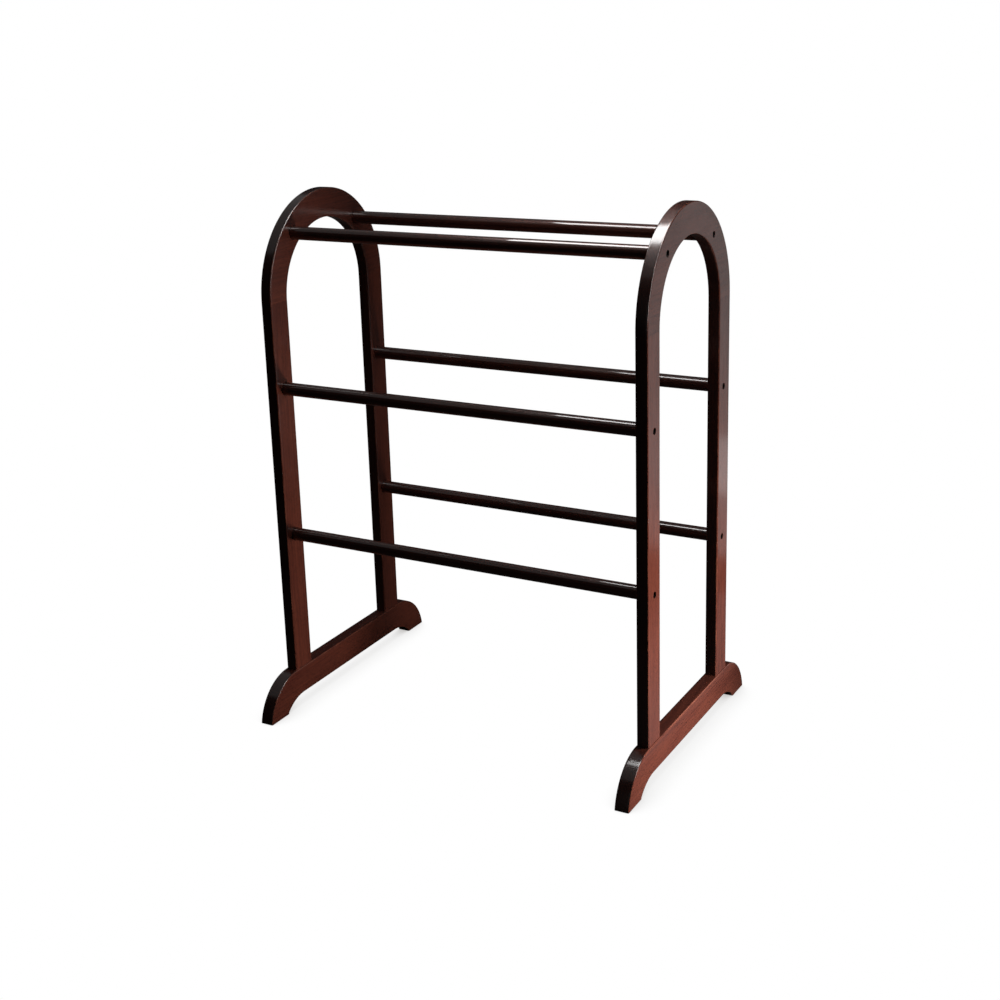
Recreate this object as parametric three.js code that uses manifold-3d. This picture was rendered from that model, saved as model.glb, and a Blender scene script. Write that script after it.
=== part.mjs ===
// A knock-down quilt rack: two arched end frames on scrolled feet, tied together by six round rails.
// Millimetres. X runs along the rails, Y from front (-) to rear (+), Z up.
// The origin is on the floor, under the middle of the rack.
import * as THREE from "three";
import { mergeVertices } from "three/addons/utils/BufferGeometryUtils.js";
import Module from "manifold-3d";

// Driving dimensions: the rack as a whole.
const RACK_SPAN = 655; // over the outer faces of the two end frames
const RACK_HEIGHT = 851; // floor to the top of the crowns
const FRAME_DEPTH = 320; // over the front and rear legs, and across a crown

// The boards of an end frame.
const BOARD_THICKNESS = 19;
const BOARD_WIDTH = 44;
const CROWN_DEPTH = 47.5; // the crown is a little deeper at its top than a leg is wide
const ARRIS = 1.2; // the eased long edges of every board

// A foot.
const FOOT_HEIGHT = 66.5;
const FOOT_THICKNESS = 23;
const FOOT_REACH = 78; // how far the nose runs out past the leg
const PAD_LENGTH = 48; // the part that stands on the floor, at each end
const PAD_STEP = 2; // the short upright edge behind a pad
const ARCH_HEIGHT = 21; // floor to the foot's straight underside
const COVE_RUN = 46; // the hollow between a pad and the underside

// The rails, and where their centre lines meet the end frames.
const RAIL_DIAMETER = 21;
const RAIL_SETBACK = 24; // from the outer edge of the leg or crown
const TOP_RAIL_ANGLE = 49.4; // degrees above the spring line of the crown
const MIDDLE_RAIL_HEIGHT = 547.5;
const LOW_RAIL_HEIGHT = 301;
const RAIL_CHAMFER = 1;
const SOCKET_DEPTH = 3; // the shallow seat that stops a rail end from slipping

// The cap bolt that draws each rail end tight, and the threaded insert that takes it.
const BOLT_DIAMETER = 5;
const BOLT_LENGTH = 35;
const BOLT_HEAD_DIAMETER = 8.5;
const BOLT_HEAD_HEIGHT = 5;
const BOLT_HEAD_EDGE = 0.5;
const BOLT_POINT = 1; // the chamfer that starts its thread
const BOLT_KEY = 4; // across the flats of the hexagon socket
const BOLT_KEY_DEPTH = 2.5;
const COUNTERBORE_DIAMETER = 10;
const COUNTERBORE_DEPTH = 8;
const INSERT_DIAMETER = 9;
const INSERT_LENGTH = 20;
const INSERT_CHAMFER = 0.6;
const INSERT_RECESS = 0.5;
const TIP_ROOM = 3; // left past the end of a bolt or screw

// The dowel pins in the glued joints, and the screw that comes up through the foot.
const PIN_DIAMETER = 8;
const PIN_LENGTH = 40;
const PIN_CHAMFER = 0.8;
const PIN_END_ROOM = 0.5;
const CROWN_PIN_OFFSET = 11; // each side of the board's middle
const FOOT_PIN_OFFSET = 13;
const SCREW_DIAMETER = 5;
const SCREW_LENGTH = 55;
const SCREW_POINT = 7;
const SCREW_TIP_DIAMETER = 1;
const SCREW_HEAD_DIAMETER = 9;
const SCREW_HEAD_HEIGHT = 3.5;
const SCREW_KEY = 3.5;
const SCREW_KEY_DEPTH = 2;
const SCREW_WELL_DEPTH = 14;

// Clearances.
const FIT_GAP = 0.3; // all round a round piece in its hole
const SEAT_GAP = 0.1; // under a bolt head, behind a rail end
const GLUE_LINE = 0.1;
const OVERCUT = 1; // how far a cutter starts outside the wood

// How finely round shapes are faceted.
const CROWN_FACETS = 36; // of a half circle
const FOOT_FACETS = 12; // of a nose or a cove
const RAIL_SIDES = 24;
const WELL_SIDES = 16;
const PIN_SIDES = 12;
const KEY_SIDES = 6; // a hexagon socket
const WELD = 1e-3; // corners nearer than this are one

// Places that follow from the sizes above.
const FRAME_PLANE = (RACK_SPAN - BOARD_THICKNESS) / 2;
const INNER_FACE = -BOARD_THICKNESS / 2; // in an end frame, +X points away from the rack
const OUTER_FACE = BOARD_THICKNESS / 2;
const CROWN_RADIUS = FRAME_DEPTH / 2;
const OPENING_RADIUS = CROWN_RADIUS - BOARD_WIDTH;
const SPRING_HEIGHT = RACK_HEIGHT - CROWN_DEPTH - OPENING_RADIUS; // where the legs end
const LEG_LINE = CROWN_RADIUS - BOARD_WIDTH / 2;
const RAIL_LINE = CROWN_RADIUS - RAIL_SETBACK;
const LEG_BASE = FOOT_HEIGHT + GLUE_LINE;
const LEG_LENGTH = SPRING_HEIGHT - GLUE_LINE - LEG_BASE;
const SOCKET_FLOOR = INNER_FACE + SOCKET_DEPTH;
const COUNTERBORE_FLOOR = OUTER_FACE - COUNTERBORE_DEPTH;
const RAIL_LENGTH = 2 * (FRAME_PLANE + SOCKET_FLOOR - SEAT_GAP);
const BOLT_SEAT = COUNTERBORE_FLOOR + SEAT_GAP;
const SCREW_SEAT = ARCH_HEIGHT + SCREW_WELL_DEPTH - SEAT_GAP;
const TOP_ANGLE = THREE.MathUtils.degToRad(TOP_RAIL_ANGLE);
const RAIL_ROWS = [
  { row: "top", y: RAIL_LINE * Math.cos(TOP_ANGLE), z: SPRING_HEIGHT + RAIL_LINE * Math.sin(TOP_ANGLE) },
  { row: "middle", y: RAIL_LINE, z: MIDDLE_RAIL_HEIGHT },
  { row: "low", y: RAIL_LINE, z: LOW_RAIL_HEIGHT },
];

// Finishes.
const STAINED_WOOD = { color: 0x3a1c18, roughness: 0.32, metalness: 0 };
const STAINED_RAIL = { color: 0x2a1210, roughness: 0.28, metalness: 0 };
const RAW_BEECH = { color: 0xc8a070, roughness: 0.75, metalness: 0 };
const BLACK_OXIDE = { color: 0x1b1b1d, roughness: 0.45, metalness: 1 };
const ZINC = { color: 0xb9a76a, roughness: 0.35, metalness: 1 };

const wasm = await Module();
wasm.setup();

function toSolid(geometry) {
  const bare = geometry.index ? geometry.toNonIndexed() : geometry.clone();
  bare.deleteAttribute("normal");
  bare.deleteAttribute("uv");
  const merged = mergeVertices(bare, WELD);
  const vertProperties = merged.attributes.position.array;
  const triVerts = new Uint32Array(merged.index.array);
  return new wasm.Manifold(new wasm.Mesh({ numProp: 3, vertProperties, triVerts }));
}

function toGeometry(solid) {
  const made = solid.getMesh();
  const geometry = new THREE.BufferGeometry();
  geometry.setAttribute("position", new THREE.BufferAttribute(made.vertProperties, 3));
  geometry.setIndex(new THREE.BufferAttribute(made.triVerts, 1));
  const faceted = geometry.toNonIndexed();
  faceted.computeVertexNormals();
  return faceted;
}

function cutAll(solid, cutters) {
  return cutters.reduce((left, cutter) => left.subtract(cutter), solid);
}

function named(name, geometry, finish, at = [0, 0, 0]) {
  const mesh = new THREE.Mesh(geometry, new THREE.MeshStandardMaterial(finish));
  mesh.name = name;
  mesh.position.set(...at);
  return mesh;
}

// A round bar with flat ends, from one end to the other along X.
function barAlongX(diameter, from, to, sides) {
  const bar = new THREE.CylinderGeometry(diameter / 2, diameter / 2, to - from, sides);
  bar.rotateZ(-Math.PI / 2);
  return bar.translate((from + to) / 2, 0, 0);
}

// The same along Z.
function barAlongZ(diameter, from, to, sides) {
  const bar = new THREE.CylinderGeometry(diameter / 2, diameter / 2, to - from, sides);
  bar.rotateX(Math.PI / 2);
  return bar.translate(0, 0, (from + to) / 2);
}

// A turned piece: its outline is a list of [radius, place along Z].
function turned(outline, sides) {
  const points = outline.map(([radius, along]) => new THREE.Vector2(radius, along));
  return new THREE.LatheGeometry(points, sides).rotateX(Math.PI / 2);
}

// A leg's section: its thickness along the first axis, its width along the second, edges eased.
function legSection() {
  const t = BOARD_THICKNESS / 2;
  const w = BOARD_WIDTH / 2;
  return [
    [-t + ARRIS, -w],
    [t - ARRIS, -w],
    [t, -w + ARRIS],
    [t, w - ARRIS],
    [t - ARRIS, w],
    [-t + ARRIS, w],
    [-t, w - ARRIS],
    [-t, -w + ARRIS],
  ].map(([x, y]) => new THREE.Vector2(x, y));
}

// A board standing in the YZ plane, with eased edges all round its outline.
function shapedBoard(outline, thickness, facets) {
  const board = new THREE.ExtrudeGeometry(outline, {
    depth: thickness - 2 * ARRIS,
    bevelThickness: ARRIS,
    bevelSize: ARRIS,
    bevelOffset: -ARRIS,
    bevelSegments: 1,
    curveSegments: facets / 2, // an arc gets two facets for each
  });
  board.translate(0, 0, ARRIS - thickness / 2);
  // The outline's own axes become Y and Z, and its thickness lies along X.
  const upright = new THREE.Matrix4().makeBasis(
    new THREE.Vector3(0, 1, 0), new THREE.Vector3(0, 0, 1), new THREE.Vector3(1, 0, 0));
  return board.applyMatrix4(upright);
}

// What is cut from a board for one rail: the socket inside, the bolt's way through, the well outside.
function railFixing(y, z) {
  const socket = barAlongX(
    RAIL_DIAMETER + 2 * FIT_GAP, INNER_FACE - OVERCUT, SOCKET_FLOOR, RAIL_SIDES);
  const way = barAlongX(
    BOLT_DIAMETER + 2 * FIT_GAP, INNER_FACE - OVERCUT, OUTER_FACE + OVERCUT, PIN_SIDES);
  const well = barAlongX(
    COUNTERBORE_DIAMETER, COUNTERBORE_FLOOR, OUTER_FACE + OVERCUT, WELL_SIDES);
  return [socket, way, well].map((cutter) => toSolid(cutter.translate(0, y, z)));
}

// The blind holes for the two pins of a glued joint, from z = 0 up or down.
function pinHoles(middle, offset, direction) {
  const depth = PIN_LENGTH / 2 + PIN_END_ROOM;
  const ends = [-OVERCUT * direction, depth * direction].sort((a, b) => a - b);
  return [-offset, offset].map((aside) => {
    const hole = barAlongZ(PIN_DIAMETER + 2 * FIT_GAP, ends[0], ends[1], PIN_SIDES);
    return toSolid(hole.translate(0, middle + aside, 0));
  });
}

// The crown's outline, with the spring line at z = 0. Its ends run on below, to be cut off square.
function crownShape() {
  const rise = RACK_HEIGHT - CROWN_RADIUS - SPRING_HEIGHT;
  const below = Math.min(rise, 0) - 2 * ARRIS;
  const outline = new THREE.Shape();
  outline.moveTo(OPENING_RADIUS, below);
  outline.lineTo(CROWN_RADIUS, below);
  outline.absarc(0, rise, CROWN_RADIUS, 0, Math.PI, false);
  outline.lineTo(-CROWN_RADIUS, below);
  outline.lineTo(-OPENING_RADIUS, below);
  outline.absarc(0, 0, OPENING_RADIUS, Math.PI, 0, true);
  return outline;
}

function makeCrown() {
  const blank = shapedBoard(crownShape(), BOARD_THICKNESS, CROWN_FACETS);
  const all = 4 * CROWN_RADIUS; // more than the crown measures, either way
  const upper = new THREE.BoxGeometry(all, all, all).translate(0, 0, all / 2);
  const squared = toSolid(blank).intersect(toSolid(upper));
  const top = RAIL_ROWS[0];
  const cutters = [-1, 1].flatMap((hand) => [
    ...railFixing(hand * top.y, top.z - SPRING_HEIGHT),
    ...pinHoles(hand * LEG_LINE, CROWN_PIN_OFFSET, 1),
  ]);
  return toGeometry(cutAll(squared, cutters));
}

// A leg, from its foot end at z = 0. hand is -1 for a front leg and 1 for a rear one.
function makeLeg(hand) {
  const section = new THREE.Shape(legSection());
  const blank = new THREE.ExtrudeGeometry(section, { depth: LEG_LENGTH, bevelEnabled: false });
  const pilotDepth = SCREW_SEAT + SCREW_LENGTH + TIP_ROOM - LEG_BASE;
  const pilot = barAlongZ(SCREW_DIAMETER + 2 * FIT_GAP, -OVERCUT, pilotDepth, PIN_SIDES);
  const cutters = [
    ...RAIL_ROWS.slice(1).flatMap(({ y, z }) => railFixing(hand * (y - LEG_LINE), z - LEG_BASE)),
    ...pinHoles(0, FOOT_PIN_OFFSET, 1),
    ...pinHoles(0, CROWN_PIN_OFFSET, -1).map((hole) => hole.translate([0, 0, LEG_LENGTH])),
    toSolid(pilot),
  ];
  return toGeometry(cutAll(toSolid(blank), cutters));
}

// The centre and radius of the circle that is level at one point and passes through another.
function archThrough(level, end) {
  const run = Math.abs(end[0] - level[0]);
  const drop = level[1] - end[1];
  const radius = (run * run + drop * drop) / (2 * drop);
  const angle = Math.atan2(end[1] - (level[1] - radius), run);
  return { y: level[0], z: level[1] - radius, radius, angle };
}

// Half of a foot's outline, from the end of its straight underside round to the end of its flat top.
function footOutline() {
  const end = CROWN_RADIUS + FOOT_REACH;
  const heel = end - PAD_LENGTH;
  const cove = archThrough([heel - COVE_RUN, ARCH_HEIGHT], [heel, PAD_STEP]);
  const nose = archThrough([CROWN_RADIUS, FOOT_HEIGHT], [end, 0]);
  const outline = new THREE.Shape();
  outline.moveTo(cove.y, ARCH_HEIGHT);
  outline.absarc(cove.y, cove.z, cove.radius, Math.PI / 2, cove.angle, true);
  outline.lineTo(heel, 0);
  outline.absarc(nose.y, nose.z, nose.radius, nose.angle, Math.PI / 2, false);
  return outline.getPoints(FOOT_FACETS / 2);
}

// The whole outline: the half, then its mirror image taken the other way round.
function footShape() {
  const half = footOutline();
  const mirrored = half.map(({ x, y }) => new THREE.Vector2(-x, y)).reverse();
  return new THREE.Shape([...half, ...mirrored]);
}

// The well and the way through for the screw under one leg.
function screwWay(y) {
  const way = barAlongZ(SCREW_DIAMETER + 2 * FIT_GAP, 0, FOOT_HEIGHT + OVERCUT, PIN_SIDES);
  const well = barAlongZ(
    SCREW_HEAD_DIAMETER + 2 * FIT_GAP, 0, ARCH_HEIGHT + SCREW_WELL_DEPTH, WELL_SIDES);
  return [way, well].map((cutter) => toSolid(cutter.translate(0, y, 0)));
}

function makeFoot() {
  const blank = shapedBoard(footShape(), FOOT_THICKNESS, FOOT_FACETS);
  const cutters = [-1, 1].flatMap((hand) => [
    ...pinHoles(hand * LEG_LINE, FOOT_PIN_OFFSET, -1).map((hole) =>
      hole.translate([0, 0, FOOT_HEIGHT])),
    ...screwWay(hand * LEG_LINE),
  ]);
  return toGeometry(cutAll(toSolid(blank), cutters));
}

// A rail, along X, with a stepped bore in each end for the insert and the tip of its bolt.
function makeRail() {
  const end = RAIL_LENGTH / 2;
  const radius = RAIL_DIAMETER / 2;
  const blank = turned([
    [0, -end],
    [radius - RAIL_CHAMFER, -end],
    [radius, -end + RAIL_CHAMFER],
    [radius, end - RAIL_CHAMFER],
    [radius - RAIL_CHAMFER, end],
    [0, end],
  ], RAIL_SIDES).rotateY(Math.PI / 2);
  const pocketFloor = end - INSERT_RECESS - INSERT_LENGTH - FIT_GAP;
  const boreFloor = FRAME_PLANE + BOLT_SEAT - BOLT_LENGTH - TIP_ROOM;
  const cutters = [
    barAlongX(INSERT_DIAMETER + 2 * FIT_GAP, pocketFloor, end + OVERCUT, PIN_SIDES),
    barAlongX(BOLT_DIAMETER + 2 * FIT_GAP, boreFloor, end + OVERCUT, PIN_SIDES),
    barAlongX(INSERT_DIAMETER + 2 * FIT_GAP, -end - OVERCUT, -pocketFloor, PIN_SIDES),
    barAlongX(BOLT_DIAMETER + 2 * FIT_GAP, -end - OVERCUT, -boreFloor, PIN_SIDES),
  ];
  return toGeometry(cutAll(toSolid(blank), cutters.map(toSolid)));
}

// The diameter over the corners of a hexagon key, from its size across the flats.
function overCorners(key) {
  return key / Math.cos(Math.PI / KEY_SIDES);
}

// A cap bolt pointing down -X, its head's underside at x = 0.
function makeBolt() {
  const head = BOLT_HEAD_DIAMETER / 2;
  const shank = BOLT_DIAMETER / 2;
  const body = turned([
    [0, -BOLT_LENGTH],
    [shank - BOLT_POINT, -BOLT_LENGTH],
    [shank, -BOLT_LENGTH + BOLT_POINT],
    [shank, 0],
    [head, 0],
    [head, BOLT_HEAD_HEIGHT - BOLT_HEAD_EDGE],
    [head - BOLT_HEAD_EDGE, BOLT_HEAD_HEIGHT],
    [0, BOLT_HEAD_HEIGHT],
  ], PIN_SIDES).rotateY(Math.PI / 2);
  const socketFloor = BOLT_HEAD_HEIGHT - BOLT_KEY_DEPTH;
  const socket = barAlongX(
    overCorners(BOLT_KEY), socketFloor, BOLT_HEAD_HEIGHT + OVERCUT, KEY_SIDES);
  return toGeometry(toSolid(body).subtract(toSolid(socket)));
}

// A threaded insert along X: its mouth at x = 0, its inner end at x = -INSERT_LENGTH.
function makeInsert() {
  const outside = INSERT_DIAMETER / 2;
  const inside = BOLT_DIAMETER / 2 + FIT_GAP;
  return turned([
    [inside, -INSERT_LENGTH],
    [outside - INSERT_CHAMFER, -INSERT_LENGTH],
    [outside, -INSERT_LENGTH + INSERT_CHAMFER],
    [outside, 0],
    [inside + INSERT_CHAMFER, 0],
    [inside, -INSERT_CHAMFER],
    [inside, -INSERT_LENGTH],
  ], PIN_SIDES).rotateY(Math.PI / 2);
}

// A dowel pin standing on z = 0.
function makePin() {
  const radius = PIN_DIAMETER / 2;
  return turned([
    [0, 0],
    [radius - PIN_CHAMFER, 0],
    [radius, PIN_CHAMFER],
    [radius, PIN_LENGTH - PIN_CHAMFER],
    [radius - PIN_CHAMFER, PIN_LENGTH],
    [0, PIN_LENGTH],
  ], PIN_SIDES);
}

// A wood screw pointing up, the top of its head at z = 0.
function makeScrew() {
  const head = SCREW_HEAD_DIAMETER / 2;
  const shank = SCREW_DIAMETER / 2;
  const body = turned([
    [0, -SCREW_HEAD_HEIGHT],
    [head, -SCREW_HEAD_HEIGHT],
    [head, 0],
    [shank, 0],
    [shank, SCREW_LENGTH - SCREW_POINT],
    [SCREW_TIP_DIAMETER / 2, SCREW_LENGTH],
    [0, SCREW_LENGTH],
  ], PIN_SIDES);
  const socketFloor = -SCREW_HEAD_HEIGHT + SCREW_KEY_DEPTH;
  const socket = barAlongZ(
    overCorners(SCREW_KEY), -SCREW_HEAD_HEIGHT - OVERCUT, socketFloor, KEY_SIDES);
  return toGeometry(toSolid(body).subtract(toSolid(socket)));
}

const crown = makeCrown();
const legs = { [-1]: makeLeg(-1), 1: makeLeg(1) };
const foot = makeFoot();
const rail = makeRail();
const bolt = makeBolt();
const insert = makeInsert();
const pin = makePin();
const screw = makeScrew();

// The two pins of one glued joint, centred on the height of the joint.
function placePins(group, name, y, z, offset) {
  const places = { outer: Math.sign(y) * offset, inner: -Math.sign(y) * offset };
  for (const [which, aside] of Object.entries(places)) {
    const at = [0, y + aside, z - PIN_LENGTH / 2];
    group.add(named(name + "_" + which, pin, RAW_BEECH, at));
  }
}

// One end frame, with +X pointing away from the rack. The left end's is turned half round to fit.
function makeEndFrame(side) {
  const frame = new THREE.Group();
  frame.add(named(side + "_crown", crown, STAINED_WOOD, [0, 0, SPRING_HEIGHT]));
  frame.add(named(side + "_foot", foot, STAINED_WOOD));
  for (const hand of [-1, 1]) {
    const isFront = (hand < 0) === (side === "right");
    const corner = side + (isFront ? "_front" : "_rear");
    const legY = hand * LEG_LINE;
    frame.add(named(corner + "_leg", legs[hand], STAINED_WOOD, [0, legY, LEG_BASE]));
    frame.add(named(corner + "_foot_screw", screw, ZINC, [0, legY, SCREW_SEAT]));
    placePins(frame, corner + "_crown_pin", legY, SPRING_HEIGHT, CROWN_PIN_OFFSET);
    placePins(frame, corner + "_foot_pin", legY, FOOT_HEIGHT, FOOT_PIN_OFFSET);
    for (const { row, y, z } of RAIL_ROWS) {
      const insertAt = [SOCKET_FLOOR - SEAT_GAP - INSERT_RECESS, hand * y, z];
      frame.add(named(corner + "_" + row + "_bolt", bolt, BLACK_OXIDE, [BOLT_SEAT, hand * y, z]));
      frame.add(named(corner + "_" + row + "_insert", insert, ZINC, insertAt));
    }
  }
  return frame;
}

const rack = new THREE.Group();
const rightEnd = makeEndFrame("right");
rightEnd.position.x = FRAME_PLANE;
const leftEnd = makeEndFrame("left");
leftEnd.position.x = -FRAME_PLANE;
leftEnd.rotation.z = Math.PI;
rack.add(rightEnd, leftEnd);
for (const { row, y, z } of RAIL_ROWS) {
  rack.add(named(row + "_front_rail", rail, STAINED_RAIL, [0, -y, z]));
  rack.add(named(row + "_rear_rail", rail, STAINED_RAIL, [0, y, z]));
}

export default rack;
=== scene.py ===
# %% [markdown]
# # A quilt rack in dark mahogany stain
#
# The rack is knock-down furniture. Two arched end frames stand on scrolled feet, and six round
# rails tie them together, so that quilts can hang over any of them. A working model of it exists
# already, with every board, rail, bolt and pin in its place. This lesson makes what the eye sees:
# boards with softened edges, rails turned smooth, bolts sunk in their wells, and a stain that
# lets the wood show through a coat of lacquer.
#
# Every size and place below is read from the working model, so nothing is fitted by eye. The
# model is loaded first, and its overall size is noted, to compare with at the end.

# %% Load the working model
import math
import random

import bmesh
import bpy
import numpy as np
from mathutils import Matrix, Vector


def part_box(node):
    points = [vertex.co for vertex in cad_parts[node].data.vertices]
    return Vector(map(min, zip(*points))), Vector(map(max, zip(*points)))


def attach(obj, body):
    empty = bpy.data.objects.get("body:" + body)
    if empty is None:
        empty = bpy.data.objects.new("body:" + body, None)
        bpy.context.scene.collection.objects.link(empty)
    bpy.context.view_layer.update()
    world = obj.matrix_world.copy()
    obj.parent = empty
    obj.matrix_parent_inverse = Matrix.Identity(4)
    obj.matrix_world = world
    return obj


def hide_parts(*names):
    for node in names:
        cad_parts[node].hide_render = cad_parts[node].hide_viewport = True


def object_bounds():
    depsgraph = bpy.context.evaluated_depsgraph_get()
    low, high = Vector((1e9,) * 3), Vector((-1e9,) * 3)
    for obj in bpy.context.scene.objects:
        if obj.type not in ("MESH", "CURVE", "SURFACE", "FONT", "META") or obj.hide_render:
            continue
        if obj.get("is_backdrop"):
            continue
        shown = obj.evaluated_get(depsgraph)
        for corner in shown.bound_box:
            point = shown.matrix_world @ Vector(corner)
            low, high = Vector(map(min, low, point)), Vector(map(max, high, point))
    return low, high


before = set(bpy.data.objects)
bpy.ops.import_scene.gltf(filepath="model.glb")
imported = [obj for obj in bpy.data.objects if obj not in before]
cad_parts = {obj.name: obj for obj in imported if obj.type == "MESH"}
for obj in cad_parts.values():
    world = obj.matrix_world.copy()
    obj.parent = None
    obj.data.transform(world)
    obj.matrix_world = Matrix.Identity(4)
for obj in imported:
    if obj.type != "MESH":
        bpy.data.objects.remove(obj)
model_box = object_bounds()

MM = 0.001
NODES = sorted(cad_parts)
print(len(NODES), "pieces, overall", [round(b - a, 3) for a, b in zip(*model_box)])

# %% [markdown]
# ## Outlines
#
# Crowns and feet are cut from flat board with a bandsaw, so each of them is an outline with a
# thickness. An outline could be drawn by hand as a curve object. Here it is a list of points
# instead, because then each arc gets the radius that the working model has. Where an arc runs
# into a straight stretch, a point is added close to the join: it keeps the shading of the
# straight part flat.

# %% Arcs, straight stretches and insets
ARC_STEP = math.radians(3)
JOIN = 3 * MM


def arc(centre, radius, start, end):
    """Points on a circle from one angle to another, given in radians."""
    steps = max(2, round(abs(end - start) / ARC_STEP))
    angles = [start + (end - start) * i / steps for i in range(steps + 1)]
    return [(centre[0] + radius * math.cos(a), centre[1] + radius * math.sin(a)) for a in angles]


def straight(start, end):
    """The two extra points of a straight stretch, one near each end."""
    run = (Vector(end) - Vector(start)).normalized() * JOIN
    return [tuple(Vector(start) + run), tuple(Vector(end) - run)]


def inset(outline, distance):
    """The outline moved inwards everywhere by the same distance. It runs anticlockwise."""
    points = np.array(outline)
    along = np.roll(points, -1, 0) - points
    along /= np.linalg.norm(along, axis=1)[:, None]
    inwards = np.stack([-along[:, 1], along[:, 0]], 1)
    both = inwards + np.roll(inwards, 1, 0)
    corner = both / (both * both).sum(1)[:, None] * 2
    return points + corner * distance


def depth_inside(outline, places):
    """How far each place lies from the nearest edge of the outline."""
    points = np.array(outline)
    edge = np.roll(points, -1, 0) - points
    from_start = places[:, None, :] - points[None]
    share = (from_start * edge).sum(2) / (edge * edge).sum(1)
    nearest = from_start - edge * np.clip(share, 0, 1)[..., None]
    return np.linalg.norm(nearest, axis=2).min(1)


print("a half circle gets", len(arc((0, 0), 1, 0, math.pi)), "points")

# %% [markdown]
# ## Boards with softened edges
#
# A planed board's edges are knocked back with a roundover bit and sandpaper before it is stained.
# That small rounding is what catches the light along every edge, so it has to be real shape. A
# Bevel modifier could add it, but it struggles where an outline turns inwards. Instead the board
# is built as a stack of insets of its outline, from one face over the rounding to the other face.
# A narrow flat margin next to the rounding keeps the shading of the broad faces true.

# %% Build a blank board
ROUNDING = 2 * MM
ROUNDING_STEPS = 5
MARGIN = 1.5 * MM


def new_object(name, shape, where=None):
    """A scene object from a bmesh, moved to its place in the mesh itself."""
    if where is not None:
        bmesh.ops.transform(shape, matrix=where, verts=shape.verts)
    bmesh.ops.recalc_face_normals(shape, faces=shape.faces)
    for face in shape.faces:
        face.smooth = True
    mesh = bpy.data.meshes.new(name)
    shape.to_mesh(mesh)
    shape.free()
    made = bpy.data.objects.new(name, mesh)
    bpy.context.scene.collection.objects.link(made)
    return made


def loft(shape, loops):
    """Joins closed loops of points, each to the next, and closes the two ends with triangles."""
    rings = [[shape.verts.new(point) for point in loop] for loop in loops]
    for ring, following in zip(rings, rings[1:]):
        for i in range(len(ring)):
            shape.faces.new((ring[i - 1], ring[i], following[i], following[i - 1]))
    caps = [shape.faces.new(rings[0]), shape.faces.new(reversed(rings[-1]))]
    shape.normal_update()
    bmesh.ops.triangulate(shape, faces=caps)


def blank_board(outline, thickness):
    """An uncut board: its outline lies in the YZ plane, and X runs through its thickness."""
    half = thickness / 2
    turns = [math.pi / 2 * i / ROUNDING_STEPS for i in range(ROUNDING_STEPS + 1)]
    stack = [(half, ROUNDING + MARGIN)]
    stack += [(half - ROUNDING * (1 - math.cos(a)), ROUNDING * (1 - math.sin(a))) for a in turns]
    stack += [(half - ROUNDING - MARGIN, 0)]
    stack += [(-x, distance) for x, distance in reversed(stack)]
    shape = bmesh.new()
    loft(shape, [[(x, y, z) for y, z in inset(outline, distance)] for x, distance in stack])
    return shape


print("each edge is rounded to", ROUNDING / MM, "mm in", ROUNDING_STEPS, "steps")

# %% [markdown]
# ## Turned pieces
#
# Rails, bolts, inserts, pins and screws are all round, and so is every drill that bores the
# boards. One helper makes them all: it sweeps a profile round an axis. A relief function can push
# the surface in or out as it goes round, which makes a screw thread, the flutes of a glued pin or
# the knurling of a bolt's head. A Screw modifier could cut a thread too, but its mesh is hard to
# close.

# %% Sweep a profile round an axis
SMALL_STEPS = 4
UP = Matrix.Identity(4)
TO_RIGHT = Matrix.Rotation(math.pi / 2, 4, "Y")
TO_LEFT = Matrix.Rotation(-math.pi / 2, 4, "Y")


def turned(profile, sides, relief=None):
    """A solid swept round Z. Its profile of (radius, height) pairs starts and ends on the axis."""
    shape = bmesh.new()
    rings = []
    for radius, height in profile[1:-1]:
        ring = []
        for i in range(sides):
            a = 2 * math.pi * i / sides
            r = radius + (relief(a, radius, height) if relief else 0)
            ring.append(shape.verts.new((r * math.cos(a), r * math.sin(a), height)))
        rings.append(ring)
    for ring, following in zip(rings, rings[1:]):
        for i in range(sides):
            shape.faces.new((ring[i - 1], ring[i], following[i], following[i - 1]))
    for (_, height), ring in ((profile[0], rings[0]), (profile[-1], rings[-1])):
        tip = shape.verts.new((0, 0, height))
        for i in range(sides):
            shape.faces.new((ring[i - 1], ring[i], tip))
    return shape


def rounded(radius, height, size, quarter):
    """A small rounding in a profile, about its own centre: one quarter turn from a given angle."""
    turns = [quarter + math.pi / 2 * i / SMALL_STEPS for i in range(SMALL_STEPS + 1)]
    return [(radius + size * math.cos(a), height + size * math.sin(a)) for a in turns]


print("turned pieces stand on Z until they are placed")

# %% [markdown]
# ## Drilling
#
# Each rail is held by a bolt. On the outer face of the board its head sits in a flat-bottomed
# well, a narrower way takes its shank, and on the inner face the rail's end sits in a shallow
# socket. Joints between boards have blind holes for glued pins, and a foot has a deep well for
# the screw that comes up into the leg. The drill is a turned shape, and a Boolean modifier takes
# it out of the board. Each drill flares a little at its mouth, which leaves the softened rim that
# sanding gives a hole.

# %% Drills, and how they cut
DRILL_SIDES = 48
RIM = 0.4 * MM
SLACK = 0.3 * MM
WELL_RADIUS = 5 * MM
WELL_DEPTH = 8 * MM
SOCKET_DEPTH = 3 * MM
SCREW_WELL_DEPTH = 14 * MM
PIN_END_ROOM = 0.5 * MM
PAST = 1 * MM
WELD = 0.002 * MM


def size_of(node):
    low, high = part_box(node)
    return high - low


def middle_of(node):
    low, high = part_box(node)
    return (low + high) / 2


BOARD = size_of("right_front_leg").x
SHANK_RADIUS = 2.5 * MM
SOCKET_RADIUS = size_of("top_front_rail").z / 2 + SLACK
PIN_LENGTH = size_of("right_front_foot_pin_outer").z
PIN_HOLE = size_of("right_front_foot_pin_outer").x / 2 + SLACK


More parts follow.
